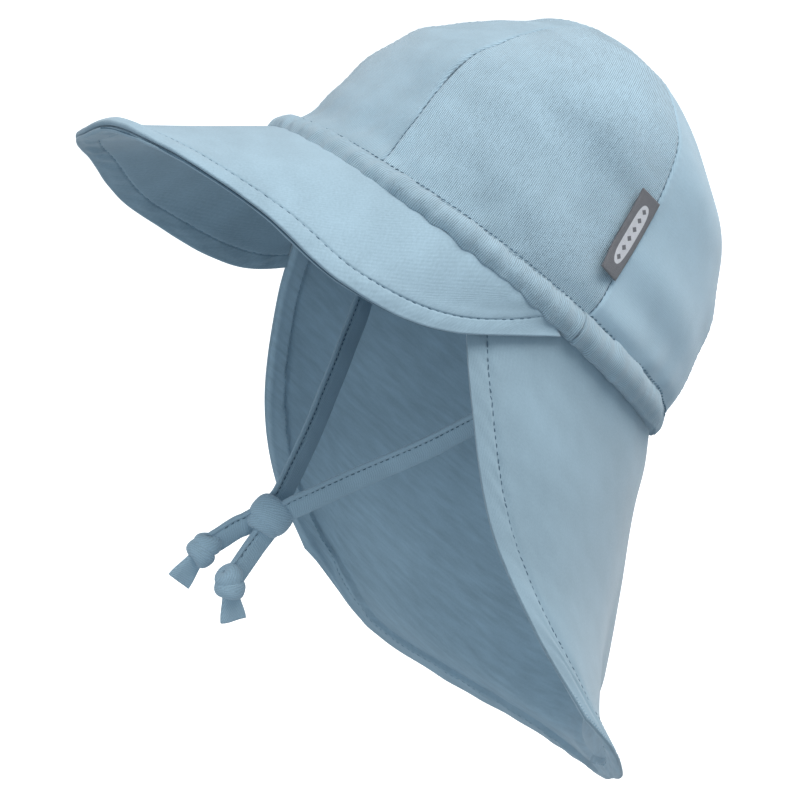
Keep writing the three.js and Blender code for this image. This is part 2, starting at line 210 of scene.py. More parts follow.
def in_scene(name, data):
    """A new object with its data, in the scene."""
    thing = bpy.data.objects.new(name, data)
    bpy.context.scene.collection.objects.link(thing)
    return thing


def aim(thing, place, way):
    """Put a camera or a light at a place in metres, looking some way."""
    thing.location = place
    thing.rotation_mode = "QUATERNION"
    thing.rotation_quaternion = way.to_track_quat("-Z", "Y")


# Camera

def make_camera():
    az, el = math.radians(CAMERA_AZIMUTH), math.radians(CAMERA_ELEVATION)
    back = Vector((math.sin(az) * math.cos(el), -math.cos(az) * math.cos(el), math.sin(el)))
    right = (-back).cross(Vector((0, 0, 1))).normalized()
    up = right.cross(-back)
    data = bpy.data.cameras.new("camera")
    data.lens = CAMERA_LENS
    data.sensor_width = CAMERA_SENSOR
    data.clip_start, data.clip_end = CAMERA_CLIP
    camera = in_scene("camera", data)
    aim(camera, (back * CAMERA_DISTANCE + right * CAMERA_RIGHT + up * CAMERA_UP) * MM, -back)
    bpy.context.scene.camera = camera


make_camera()

# Materials

JERSEY = (0.287, 0.404, 0.488)
THREAD = (0.085, 0.145, 0.2)
PALE_THREAD = (0.19, 0.29, 0.37)
TAB_GREY = (0.105, 0.108, 0.122)
TAB_PALE = (0.52, 0.53, 0.57)


class Nodes:
    """The nodes of a material or of the world."""

    def __init__(self, tree):
        self.nodes, self.links = tree.nodes, tree.links

    def add(self, kind, values, operation=None):
        """A new node, each input of which takes a constant or another node's output."""
        node = self.nodes.new(f"ShaderNode{kind}")
        if operation:
            node.operation = operation
        for socket, value in values.items():
            if isinstance(value, (int, float, tuple)):
                node.inputs[socket].default_value = value
            else:
                self.links.new(value, node.inputs[socket])
        return node


class Shader(Nodes):
    """A material whose nodes are joined by small sums."""

    def __init__(self, name, values):
        self.material = bpy.data.materials.new(name)
        self.material.use_nodes = True
        super().__init__(self.material.node_tree)
        self.surface = self.nodes["Principled BSDF"]
        for socket, value in values.items():
            self.surface.inputs[socket].default_value = value

    def math(self, operation, *values):
        return self.add("Math", dict(enumerate(values)), operation).outputs[0]

    def cloth_place(self, turn=0, scale=(1, 1, 1)):
        """The place on the cloth in metres, turned by some degrees."""
        uv = self.add("UVMap", {})
        uv.uv_map = "cloth"
        values = {"Vector": uv.outputs[0], "Rotation": (0, 0, math.radians(turn)), "Scale": scale}
        return self.add("Mapping", values).outputs[0]

    def noise(self, place, scale, detail=2, roughness=0.5):
        values = {"Vector": place, "Scale": scale, "Detail": detail, "Roughness": roughness}
        return self.add("TexNoise", values).outputs["Fac"]

    def about(self, value, strength):
        """A value from 0 to 1 made into one about 0, with a strength."""
        return self.math("MULTIPLY", self.math("SUBTRACT", value, 0.5), 2 * strength)

    def split(self, place):
        node = self.add("SeparateXYZ", {0: place})
        return node.outputs["X"], node.outputs["Y"]

    def span(self, value, low, high):
        """A smooth step from 0 at low to 1 at high."""
        node = self.add("MapRange", {"Value": value, "From Min": low, "From Max": high})
        node.interpolation_type = "SMOOTHSTEP"
        return node.outputs[0]

    def tint(self, colour, tone):
        node = self.add("VectorMath", {0: colour, "Scale": tone}, "SCALE")
        self.links.new(node.outputs[0], self.surface.inputs["Base Color"])

    def bump(self, height, distance, strength):
        node = self.add("Bump", {"Height": height, "Distance": distance * MM, "Strength": strength})
        self.links.new(node.outputs[0], self.surface.inputs["Normal"])


BASE_LOOK = {
    "rib": 0.62,  # width of a rib in millimetres
    "turn": 0,  # degrees between the ribs and V of the UV map
    "rib_tone": 0.12,  # how much lighter a rib is than the groove beside it
    "mottle": 0.05,  # soft patches
    "streaks": 0,  # thin slanting slubs
    "relief": 1,  # depth of the knit
    "broken": 0.7,  # how uneven the knit is
    "grain": 0.03,  # fine specks
    "shade": 1,  # painted light and shade: the whole made lighter or darker for how brightly each piece should look lit
}
JERSEY_SURFACE = {
    "Roughness": 0.95,
    "Specular IOR Level": 0.15,
    "Sheen Weight": 0.34,
    "Sheen Roughness": 0.5,
    "Sheen Tint": (1, 1, 1, 1),
}
COURSE = 0.52  # height of a row of loops in millimetres
SLUB_SLANT = -22


def jersey_material(name, **changes):
    """Fine knitted jersey. Changes are to the base look, whose overall lightness is painted light and
    shade set for each piece.
    """
    look = {**BASE_LOOK, **changes}
    rib_tone, turn = look["rib_tone"], look["turn"]
    cloth = Shader(name, JERSEY_SURFACE)
    place = cloth.cloth_place(turn)
    x, y = cloth.split(place)
    waver = cloth.about(cloth.noise(place, 150), 2.4)
    across = cloth.math("MULTIPLY_ADD", x, 2 * math.pi / (look["rib"] * MM), waver)
    wales = cloth.math("SINE", across)
    arch = cloth.math("ABSOLUTE", cloth.math("SINE", cloth.math("MULTIPLY", across, 0.5)))
    loops = cloth.math("MULTIPLY_ADD", arch, 3.0, cloth.math("MULTIPLY", y, 2 * math.pi / (COURSE * MM)))
    courses = cloth.math("SINE", loops)
    uneven = cloth.about(cloth.noise(cloth.cloth_place(turn, (1, 0.4, 1)), 900), 1.6 * look["broken"])
    knit = cloth.math("MULTIPLY_ADD", courses, 0.35, wales)
    knit = cloth.math("MULTIPLY", knit, cloth.math("ADD", uneven, 1.0))
    fuzz = cloth.about(cloth.noise(place, 3200), 1.0)
    cloth.bump(cloth.math("ADD", knit, cloth.math("MULTIPLY", fuzz, 0.7)), 0.07, 0.75 * look["relief"])
    # Overall lightness, painted light and shade: each piece's copy of the jersey is lightened or darkened
    # to look as lit as it should.
    tone = cloth.math("MULTIPLY_ADD", knit, rib_tone, look["shade"])
    tone = cloth.math("MULTIPLY_ADD", fuzz, 0.5 * rib_tone, tone)
    for spots, strength in (
        (cloth.noise(place, 120, 3), 0.5 * look["mottle"]),
        (cloth.noise(cloth.cloth_place(turn, (18, 42, 1)), 1), look["mottle"]),
        (cloth.noise(place, 1300, 3, 0.6), look["grain"]),
    ):
        tone = cloth.math("ADD", tone, cloth.about(spots, strength))
    if look["streaks"]:
        slubs = cloth.noise(cloth.cloth_place(turn + SLUB_SLANT, (85, 420, 1)), 1, 3, 0.6)
        tone = cloth.math("ADD", tone, cloth.about(slubs, look["streaks"]))
    cloth.tint(JERSEY, tone)
    return cloth.material


def thread_material(name, colour):
    """Sewing thread."""
    yarn = Shader(name, {"Roughness": 0.8, "Specular IOR Level": 0.2})
    place = yarn.add("TexCoord", {}).outputs["Object"]
    yarn.tint(colour, yarn.math("MULTIPLY_ADD", yarn.noise(place, 900), 0.8, 0.6))
    return yarn.material


TAPE_WEFT = 0.42  # spacing of the tape's threads in millimetres
TAPE_WARP = 0.3
PANEL_WIDTH = 0.54  # shares of the tab's width and length
PANEL_LENGTH = 0.72
PANEL_MIDDLE = 0.52
DIAMOND_SPACING = 3.4
DIAMOND_LENGTH = 2.1
DIAMOND_WIDTH = 2.3


def woven_material():
    """Grey woven tape with a plain pale panel and a row of small diamonds, a motif of no maker."""
    tape = Shader("woven_tape", {"Roughness": 0.62, "Sheen Weight": 0.1})
    place = tape.cloth_place()
    x, y = tape.split(place)
    weft, warp = (
        tape.math("SINE", tape.math("MULTIPLY", way, 2 * math.pi / (spacing * MM)))
        for way, spacing in ((y, TAPE_WEFT), (x, TAPE_WARP))
    )
    weave = tape.math("MULTIPLY_ADD", warp, 0.6, weft)
    tape.bump(weave, 0.06, 0.6)

    def share(value, half, power):
        """How far out a value is, as a share of a half width, to some power."""
        return tape.math("POWER", tape.math("ABSOLUTE", tape.math("DIVIDE", value, half * MM)), power)

    from_middle = tape.math("SUBTRACT", x, PANEL_MIDDLE * TAB_WIDTH * MM)
    from_centre = tape.math("SUBTRACT", y, TAB_LENGTH / 2 * MM)
    round_x = share(from_middle, PANEL_WIDTH * TAB_WIDTH / 2, 2.5)
    round_y = share(from_centre, PANEL_LENGTH * TAB_LENGTH / 2, 4)
    panel = tape.span(tape.math("ADD", round_x, round_y), 1.06, 0.94)
    row = tape.math("FRACT", tape.math("DIVIDE", from_centre, DIAMOND_SPACING * MM))
    along = tape.math("ABSOLUTE", tape.math("SUBTRACT", row, 0.5))
    diamond = tape.math(
        "ADD",
        tape.math("MULTIPLY", along, DIAMOND_SPACING / (DIAMOND_LENGTH / 2)),
        share(from_middle, DIAMOND_WIDTH / 2, 1),
    )
    panel = tape.math("MULTIPLY", panel, tape.span(diamond, 0.92, 1.08))
    blend = tape.nodes.new("ShaderNodeMix")
    blend.data_type = "RGBA"
    tape.links.new(panel, blend.inputs["Factor"])
    colour_in = [i for i in blend.inputs if i.type == "RGBA"]
    colour_in[0].default_value = (*TAB_GREY, 1)
    colour_in[1].default_value = (*TAB_PALE, 1)
    colour_out = [o for o in blend.outputs if o.type == "RGBA"][0]
    tone = tape.math("MULTIPLY_ADD", tape.noise(place, 420), 0.3, 0.85)
    tone = tape.math("MULTIPLY_ADD", weave, 0.06, tone)
    tape.tint(colour_out, tone)
    return tape.material


# One jersey in several copies, each with its own overall lightness as painted light and shade: lighter on
# the crown's side and back, flap's inside, strap and knots, darker on the peak and flap's outside.
crown_side_cloth = jersey_material("crown_side_look", rib_tone=0.3, mottle=0.24, relief=1.2, shade=1.05)
crown_front_cloth = jersey_material("crown_front_look", rib_tone=0.14, mottle=0.26, grain=0.1)
crown_back_cloth = jersey_material(
    "crown_back_look", rib_tone=0.05, mottle=0.16, relief=0.6, grain=0.1, shade=1.12
)
band_cloth = jersey_material("band_jersey_look", rib=0.68, rib_tone=0.22, mottle=0.2, relief=1.5)
peak_cloth = jersey_material(
    "peak_jersey_look", rib=0.7, rib_tone=0.02, mottle=0.2, relief=0.2, broken=2, grain=0.16, shade=0.95
)
flap_cloth = jersey_material(
    "flap_jersey_look", rib_tone=0.03, mottle=0.14, relief=0.3, broken=1.2, grain=0.1, shade=0.88
)
flap_inside = jersey_material(
    "flap_inside_look", rib_tone=0.01, mottle=0.16, streaks=0.27, relief=0.15, grain=0.09, shade=1.07
)
strap_cloth = jersey_material(
    "strap_jersey_look", rib=0.6, turn=50, rib_tone=0.07, mottle=0.2, relief=0.6, shade=1.08
)
knot_cloth = jersey_material(
    "knot_jersey_look", rib=0.6, turn=35, rib_tone=0.11, mottle=0.14, relief=0.75, shade=1.2
)
thread = thread_material("thread", THREAD)
pale_thread = thread_material("pale_thread", PALE_THREAD)
woven_tape = woven_material()


# Meshes

def make_object(name, points, faces, uv, material, nodes=()):
    """A smooth mesh of points in millimetres. uv is a place on the cloth for each corner of each face."""
    mesh = bpy.data.meshes.new(name)
    mesh.from_pydata((np.asarray(points) * MM).tolist(), [], faces)
    if uv is not None:
        layer = mesh.uv_layers.new(name="cloth")
        layer.data.foreach_set("uv", (np.asarray(uv) * MM).astype(np.float32).ravel())
    for m in material if isinstance(material, (list, tuple)) else [material]:
        mesh.materials.append(m)
    mesh.polygons.foreach_set("use_smooth", [True] * len(mesh.polygons))
    piece = in_scene(name, mesh)
    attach(piece, "root")
    if nodes:
        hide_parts(*nodes)
    return piece


def ring_faces(sections, around, closed):
    """Faces of a tube of rings, as each corner's ring and its place on the ring, not wrapped."""
    i, j = np.meshgrid(np.arange(sections if closed else sections - 1), np.arange(around), indexing="ij")
    i, j = i.ravel(), j.ravel()
    ring = np.stack([i, i + 1, i + 1, i], -1)
    place = np.stack([j, j, j + 1, j + 1], -1)
    if not closed:
        k = np.arange(around // 2 - 1)
        cap = np.stack([k, k + 1, around - 2 - k, around - 1 - k], -1)
        ring = np.concatenate([ring, 0 * cap, 0 * cap + sections - 1])
        place = np.concatenate([place, cap, cap[:, ::-1]])
    return ring, place


def ring_mesh(rings, uv, closed):
    """Points, faces and places on the cloth of a closed mesh of rings of points."""
    sections, around = rings.shape[:2]
    ring, place = ring_faces(sections, around, closed)
    faces = (ring % sections) * around + place % around
    wide = np.concatenate([uv, 2 * uv[:, -1:] - uv[:, -2:-1]], 1)
    wide = np.concatenate([wide, 2 * wide[-1:] - wide[-2:-1]], 0)
    return rings.reshape(-1, 3), faces, wide[ring, place].reshape(-1, 2)


def tube(name, rings, uv, material, nodes=(), closed=False):
    points, faces, places = ring_mesh(rings, uv, closed)
    return make_object(name, points, faces.tolist(), places, material, nodes)


def sheet(name, outer, inner, uv, material, slot_name, nodes, apart=0, rim=(), rim_uv=()):
    """A closed sheet of an outer face, a rim and an inner face, whose cloth lies some way off along V."""
    rings = np.concatenate([outer, *rim, inner[::-1]], 0)
    uvs = np.concatenate([uv, *rim_uv, uv[::-1] + (0, apart)], 0)
    return tube(name, rings.transpose(1, 0, 2), uvs.transpose(1, 0, 2), material, nodes)


def grid_normals(grid):
    """Outward unit normals of a grid of points, whose steps along columns and then rows turn outwards."""
    return unit(np.cross(np.gradient(grid, axis=1), np.gradient(grid, axis=0)))


def arc(grid, axis):
    """Length along a grid's lines from its first point."""
    step = np.linalg.norm(np.diff(grid, axis=axis), axis=-1)
    zero = np.zeros_like(np.take(step, [0], axis=axis))
    return np.concatenate([zero, np.cumsum(step, axis=axis)], axis=axis)


def lay(distance, along, values):
    """Values, such as points, read at distances along a line."""
    return np.stack([np.interp(distance, along, values[:, k]) for k in range(3)], -1)


def border_steps(border, length, count):
    """Distances from 0 to a length, close together in a border at both ends."""
    squeeze = min(1, 0.3 * length / border[-1])
    near = np.array(border) * squeeze
    middle = np.linspace(near[-1], length - near[-1], count)[1:-1]
    return np.concatenate([near, middle, length - near[::-1]])


def noise(seed, *coordinates):
    """A smooth sum of waves of any number of coordinates, from about -1 to 1, the same for each seed."""
    random = np.random.default_rng(seed)
    total = 0
    waves = 7
    for _ in range(waves):
        phase = random.uniform(0, 2 * math.pi)
        for c in coordinates:
            phase = phase + random.normal(0, 1) * c
        total = total + np.sin(phase)
    return total / math.sqrt(waves)


STITCHES = {  # spacing, length and radius
    "crown_seam": (2.2, 1.9, 0.14),
    "peak_top": (2.9, 2, 0.24),
    "peak_under": (2.9, 2, 0.22),
    "hem_outside": (2.5, 2.1, 0.17),
    "hem_inside": (2.5, 1.9, 0.15),
    "fold_chain": (1.15, 1.5, 0.16),
    "strap": (2.1, 1.5, 0.17),
    "band": (2, 1.5, 0.19),
    "band_gather": (2.1, 1.7, 0.27),
}
PAINTED_SHADE_THREAD_RADIUS = 0.3  # radius of the long dark thread in the peak's edge, painted shade for the seam's shadow line


def stitches(name, line, normal, kind, slot_name, skew=0, yarn=None):
    """Short threads laid along a line of points with a normal at each, a little uneven, in one mesh."""
    spacing, length, radius = STITCHES[kind]
    along = arc(line, 0)
    count = int(along[-1] / spacing)
    uneven = np.random.default_rng(count).normal(0, 1, (4, count, 1))
    at = (np.arange(count) + 0.5 + 0.07 * uneven[0, :, 0]) * along[-1] / count

    place, out = lay(at, along, line), unit(lay(at, along, normal))
    forward = unit(lay(at + 0.3, along, line) - lay(at - 0.3, along, line))
    side = unit(np.cross(out, forward))
    forward = unit(forward + (skew + 0.12 * uneven[1]) * side)
    side = unit(np.cross(out, forward))
    long = length * (1 + 0.1 * uneven[2])
    sink = radius * 0.25 * uneven[3]
    rings, sides = 7, 8
    points = []
    for t in np.linspace(-1, 1, rings):
        size = radius * math.sqrt(max(1 - abs(t) ** 3, 0.02))
        middle = place + forward * (t * long / 2) + out * (sink - abs(t) ** 3 * radius * 1.6)
        for a in np.arange(sides) * 2 * math.pi / sides:
            points.append(middle + side * (math.cos(a) * size) + out * (math.sin(a) * size))
    ring, spot = ring_faces(rings, sides, False)
    base = ring * sides + spot % sides
    faces = (base[None] + np.arange(count)[:, None, None] * rings * sides).reshape(-1, 4)
    points = np.stack(points, 1).reshape(-1, 3)
    return make_object(name, points, faces.tolist(), None, yarn or thread)


def rounded(a, power):
    """The two sides of a rounded square, at an angle round it."""
    return [np.sign(v) * np.abs(v) ** power for v in (np.cos(a), np.sin(a))]


# Crown

FINE = np.linspace(0, 1, 2001)
FINE_UP = read(CROWN, FINE, "up") * CROWN_HEIGHT


def crown_point(angle, share):
    turn = np.radians(angle)
    middle = CROWN["back"][-1] * share * HALF_LENGTH
    front = -read(CROWN, share, "front") * HALF_LENGTH
    back = read(CROWN, share, "back") * HALF_LENGTH
    reach = np.where(np.cos(turn) > 0, middle - front, back - middle)
    return np.stack(
        [
            read(CROWN, share, "side") * HALF_WIDTH * np.sin(turn),
            middle - reach * np.cos(turn),
            read(CROWN, share, "up") * CROWN_HEIGHT,
        ],
        -1,
    )


def crown_share_at(height):
    return np.interp(height, FINE_UP, FINE)


def band_height(angle):
    frontward = np.maximum(np.cos(np.radians(angle)), 0)
    return BAND_HEIGHT_SIDE + (BAND_HEIGHT_FRONT - BAND_HEIGHT_SIDE) * frontward**2


def outwards(angle):
    turn = np.radians(angle)
    return unit(np.stack([np.sin(turn) / HALF_WIDTH, -np.cos(turn) / HALF_LENGTH, 0 * turn], -1))


def band_point(angle, inset, height):
    place = crown_point(angle, crown_share_at(np.maximum(height, 0)))
    place = place + outwards(angle) * np.asarray(BAND_PROUD - inset)[..., None]
    place[..., 2] = height
    return place


PANELS = [
    ("crown_left_front", crown_side_cloth, ("front", 0, 1), ("side", 0, 1)),
    ("crown_left_back", crown_back_cloth, ("side", 0, 1), ("back", 0, 1)),
    ("crown_back", crown_back_cloth, ("back", 0, 1), ("back", 360, -1)),
    ("crown_right_back", crown_back_cloth, ("back", 360, -1), ("side", 360, -1)),
    ("crown_right_front", crown_side_cloth, ("side", 360, -1), ("front", 360, -1)),
    ("crown_front", crown_front_cloth, ("front", 360, -1), ("front", 360, 1)),
]
CROWN_WALL = 1.3
SEAM_BORDER = [0, 0.12, 0.25, 0.4, 0.6, 0.85, 1.2, 1.7, 2.4, 3.3, 4.5]
SEAM_DEPTH = 0.7
SEAM_WIDTH = 0.4
SEAM_PAD = 0.3


def seam_angle(seam, share):
    column, start, turn = seam
    return start + turn * read(SEAMS, share, column)


def crown_swell(place, angle):
    """How far the crown's cloth stands out from its smooth form, in folds, gathers, rolls and dents."""
    height = place[..., 2]
    turn = np.radians(angle)
    level = height / CROWN_HEIGHT
    ahead = np.maximum(np.cos(turn + 0.25), 0)
    frontward, backward = np.maximum(np.cos(turn), 0) ** 2, np.maximum(-np.cos(turn), 0) ** 2
    folds = noise(11, 3.2 * turn, height / 3.6) * 0.45
    slanting = noise(12, 6 * turn + height / 8, height / 12) * 0.35
    gather = noise(5, 24 * turn, height / 24) * 0.7 * np.exp(-np.maximum(height - 9, 0) / 8)
    roll = 1.1 * bump(height, 16, 5) * (0.65 + 0.35 * np.sin(3 * turn + 1)) * np.sin(turn) ** 2
    fade = ease(8, 15, height) * (1 - ease(0.85, 1, level))
    fuller = 0.9 * frontward * between(0.25, 0.6, 0.6, 0.7, level)
    flatter = 1.1 * backward * between(0.25, 0.6, 0.9, 1, level)
    dent = 3 * ahead * between(0.57, 0.76, 0.91, 0.98, level)
    dent = dent * (1 - 0.3 * ease(0.78, 0.86, level))
    low_dent = 2.4 * ahead**2 * bump(height, 14, 7)
    top_dent = 1.3 * bump(level, 0.965, 0.022) * np.maximum(np.cos(turn - 0.9), 0)
    return (folds + slanting + gather + roll) * fade + fuller - flatter - dent - low_dent - top_dent


def crown_panel(name, cloth, first, last):
    middle_columns, rows = 46, 130
    v = np.linspace(0, 1, rows)
    start = crown_share_at(band_height(0.5 * (seam_angle(first, 0) + seam_angle(last, 0))) - 3.2)
    share = start + (0.9985 - start) * v
    fine = np.linspace(0, 1, 201)
    low, high = seam_angle(first, share)[:, None], seam_angle(last, share)[:, None]
    fine_width = arc(crown_point(low + (high - low) * fine, share[:, None] + 0 * fine), 1)
    u = np.stack(
        [np.interp(border_steps(SEAM_BORDER, w[-1], middle_columns), w, fine) for w in fine_width]
    )
    across = u.shape[1]
    share = share[:, None] + 0 * u
    angle = low + (high - low) * u
    smooth = crown_point(angle, share)
    normal = grid_normals(smooth)
    width = arc(smooth, 1)
    whole = width[:, -1:]
    from_seam = np.minimum(width, whole - width)
    climb = arc(smooth, 0)
    pucker = 0.5 + 0.5 * np.sin(climb * 2 * math.pi / 2.6 + noise(3, climb / 5) * 1.6)
    seam = -SEAM_DEPTH * (0.75 + 0.35 * pucker) * np.exp(-((from_seam / SEAM_WIDTH) ** 1.4))
    seam = seam + SEAM_PAD * bump(from_seam, 1.6, 1.3) * (0.35 + 0.65 * pucker)
    seam = seam * ease(0, 8, whole)
    rise = crown_swell(smooth, angle) * ease(0, 10, whole)
    outer = smooth + normal * (seam + rise)[..., None]
    inner = outer - normal * CROWN_WALL
    uv = np.stack([width - whole / 2, climb[:, across // 2][:, None] + 0 * width], -1)
    sheet(f"{name}_cloth", upright(outer), upright(inner), uv, cloth, "crown_jersey", [name], apart=200)
    sewn = slice(4, int(rows * 0.95))
    seam_line = upright(outer[sewn, 0] + normal[sewn, 0] * 0.25)
    stitches(f"{name}_seam", seam_line, upright(normal[sewn, 0]), "crown_seam", "crown_jersey")


for panel in PANELS:
    crown_panel(*panel)

# Head band, a rolled casing

BAND_ACROSS = [-0.08, 0.06, 0.1, -0.03, -0.32, -0.95, -1, -1, -0.92]  # shares of its wall, inwards
BAND_UP = [0, 0.2, 0.5, 0.8, 1, 1, 0.6, 0.15, 0]  # shares of its height
BAND_PROFILE = np.stack([BAND_ACROSS, BAND_UP], -1)


def closed_curve(points, steps):
    """A smooth closed curve through a few points."""
    count = len(points)
    t = np.linspace(0, count, steps, endpoint=False)
    i = t.astype(int)
    f = (t - i)[:, None]
    return spline([points[(i + k - 1) % count] for k in range(4)], f)


CROSS_SEAM = 93.0  # degrees from the front at which the casing is joined, over each ear


def pulled_in(from_front):
    """How far the band is drawn in behind, at degrees from the front."""
    return 2.1 * ease(122, 150, from_front) - 1.5 * ease(156, 174, from_front)


def head_band():
    around = 44
    ears = (CROSS_SEAM, 360 - CROSS_SEAM)
    near_seams = [ear + np.linspace(-1.5, 1.5, 41) for ear in ears]
    angle = np.unique(np.concatenate([np.linspace(0, 360, 1040, endpoint=False), *near_seams]))
    profile = closed_curve(BAND_PROFILE, around)
    a = angle[:, None] + 0 * profile[:, 0]
    height = band_height(a)
    up = profile[:, 1]
    place = band_point(a, -profile[:, 0] * BAND_WALL, up * height)
    middle = band_point(a, 0.5 * BAND_WALL + 0 * a, 0.5 * height)
    away = unit(place - middle)
    turn = np.radians(a)
    from_front = 180 - np.abs(180 - a)
    outside = ease(-0.75, -0.2, profile[:, 0])
    thin = 1 - 0.55 * ease(115, 150, from_front) - 0.8 * ease(45, 15, from_front)
    puff = (1.7 * np.sin(math.pi * np.clip(up, 0, 1)) * thin - 0.2) * outside
    crease = noise(21, 34 * turn + 1.5 * up, up * 1.8) * 0.36 + noise(22, 85 * turn, up * 1.2) * 0.1
    crease = crease + noise(25, 13 * turn + up, up * 1.5) * 0.5
    crease = crease - 0.45 * np.maximum(noise(24, 38 * turn + up, up * 0.8) - 0.8, 0)
    behind = ease(110, 160, from_front)
    gather = noise(23, 46 * turn, up * 1.1) * 0.3 * behind - pulled_in(from_front)
    join = 0
    for ear in ears:
        distance = (a - ear) * math.pi / 180 * HALF_LENGTH + 0.8 * (up - 0.5)
        join = join - bump(distance, 0, 0.22)
        join = join + 0.3 * bump(distance, -1.3, 1) + 0.4 * bump(distance, 1.2, 0.9)
    offset = puff + (crease + gather + join) * outside
    place = place + away * offset[..., None]
    round_it = arc(place[:, 10], 0)[:, None]
    girth = arc(np.concatenate([place, place[:, :1]], 1), 1)[:, :-1]
    uv = np.stack([round_it + 0 * up, girth], -1)
    tube("head_band_cloth", upright(place), uv, band_cloth, ["head_band"], closed=True)


head_band()

# Peak, two layers sewn together along the edge

PEAK_TUCK_IN = 0.7  # how far the peak's sewn edge lies inside the band's face, and above its lower edge
PEAK_TUCK_UP = 1.1
PEAK_BORDER = 7.5
PEAK_STEPS = [0, 0.5, 1, 1.6, 2.3, 3.1, 4, 5, 5.9, 6.5, 6.9, 7.2, 7.5, 7.8, 8.1, 8.5, 9.1, 10]
PEAK_EDGE_PROFILE = [  # out from the edge and down through the wall, as shares of the wall
    (0.12, 0.02), (0.26, 0.1), (0.32, 0.24), (0.24, 0.4), (-0.1, 0.47), (-0.7, 0.52),
    (-0.1, 0.57), (0.24, 0.62), (0.32, 0.76), (0.24, 0.92), (0.06, 0.99),
]


def peak_surface(side, out):
    """Top of the peak: side is 1 at the left ear and -1 at the right, out is 1 at the edge."""
    root = band_point(side * PEAK_END, PEAK_TUCK_IN + 0 * side, PEAK_TUCK_UP + 0 * side)
    edge = np.stack(
        [
            read(PEAK_EDGE, side, "side") * HALF_WIDTH,
            -read(PEAK_EDGE, side, "forward") * (HALF_LENGTH + PEAK_REACH),
            -read(PEAK_EDGE, side, "drop") * PEAK_DROP,
        ],
        -1,
    )
    return root + (edge - root) * out[..., None]


def painted_shade_thread(name, line, radius):
    """One long dark thread along a line, painted shade standing for a seam's shadow line."""
    forward = unit(np.gradient(line, axis=0))
    side = unit(np.cross(forward, np.array([0, 0, 1.0])))
    out = np.cross(side, forward)
    a = circle(8)[None, :, None]
    rings = line[:, None] + radius * (np.cos(a) * side[:, None] + np.sin(a) * out[:, None])
    tube(name, rings, rings[..., :2], thread)


def peak():
    across = 420
    side = 1 - 2 * np.linspace(0, 1, across)
    ends = np.array([[0.0], [1.0]])
    out = []
    for long in arc(peak_surface(side + 0 * ends, ends + 0 * side), 0)[-1]:
        border = np.array(PEAK_STEPS) * min(1, 0.5 * long / PEAK_STEPS[-1])
        inner = np.linspace(0, long - border[-1], 34)[:-1]
        out.append(np.concatenate([inner, long - border[::-1]]) / long)
    out = np.array(out).T
    side = side[None, :] + 0 * out
    surface = peak_surface(side, out)
    normal = grid_normals(surface)
    long = arc(surface, 0)
    round_edge = arc(surface, 1)
    from_edge = long[-1:] - long
    fade = ease(2, 10, long[-1:])
    groove = -0.42 * bump(from_edge, PEAK_BORDER, 0.4)
    pillow = 0.3 * bump(from_edge, PEAK_BORDER / 2, 3) + 0.2 * bump(from_edge, PEAK_BORDER + 2.5, 2.5)
    ripple = noise(31, round_edge[-1:] / 3.2, from_edge / 9) * 0.14 * np.exp(-((from_edge / 11) ** 2))
    soft = noise(32, side * 3.2, out * 2) * 0.55 * ease(0, 0.25, out) * ease(0, 8, long[-1:])
    rise = (groove + pillow + ripple) * fade
    gather = noise(33, round_edge[-1:] / 1.9, from_edge / 8) * 0.42 * fade
    gather = gather * (1 - ease(5, 8, from_edge)) * ease(1, 3.5, from_edge)
    tip_roll = 2.1 * bump(side, 0, 0.21) * bump(from_edge, 2, 3.5)
    top = surface + normal * (rise * 0.9 + soft + tip_roll)[..., None]
    wall = PEAK_WALL * (0.45 + 0.55 * ease(0, 12, long[-1:]))
    under = surface - normal * (wall + rise + gather - soft)[..., None]
    edge_out = unit(surface[-1] - surface[-3])
    waver = (1 + 0.12 * noise(34, round_edge[-1] / 2.4)) * (1 - 0.75 * bump(side[-1], -0.25, 0.16))
    rim = [
        top[-1] * (1 - down) + under[-1] * down + edge_out * (wall[0] * reach * waver)[..., None]
        for reach, down in PEAK_EDGE_PROFILE
    ]
    step = np.diff(surface, axis=1)
    round_it = np.cumsum(np.hypot(step[..., 0], step[..., 2]), axis=1)
    round_it = np.concatenate([0 * round_it[:, :1], round_it], 1)
    uv = np.stack([round_it - round_it[:, across // 2 : across // 2 + 1], surface[..., 1]], -1)
    rim_uv = [uv[-1] + (0, 0.4 * (k + 1)) for k in range(len(rim))]
    faces = upright(top), upright(under), uv
    rim = [upright(np.stack(rim))], [np.stack(rim_uv)]
    sheet("peak_cloth", *faces, peak_cloth, "peak_jersey", ["peak"], 300, *rim)
    wide = [k for k in range(6, across - 6) if long[-1, k] > PEAK_BORDER + 1]
    line, under_line, line_normal = (
        upright(np.array([lay(long[-1, k] - PEAK_BORDER, long[:, k], grid[:, k]) for k in wide]))
        for grid in (top, under, normal)
    )
    # A dark thread in the notch of the edge seam, painted shade: it stands for the seam's shadow line.
    seam = surface[-1] + edge_out * 0.45 - normal[-1] * 0.5 * wall[0][:, None]
    shown = slice(20, int(across * 0.52))
    painted_shade_thread("peak_edge_painted_shade", upright(seam[shown]), PAINTED_SHADE_THREAD_RADIUS)
    stitches("peak_stitches_top", line, line_normal, "peak_top", "peak_jersey")
    under_normal = -line_normal
    stitches("peak_stitches_under", under_line, under_normal, "peak_under", "peak_jersey", 0, pale_thread)


peak()

# Neck flap, a hanging sheet

FLAP_TUCK_UP = 1.2


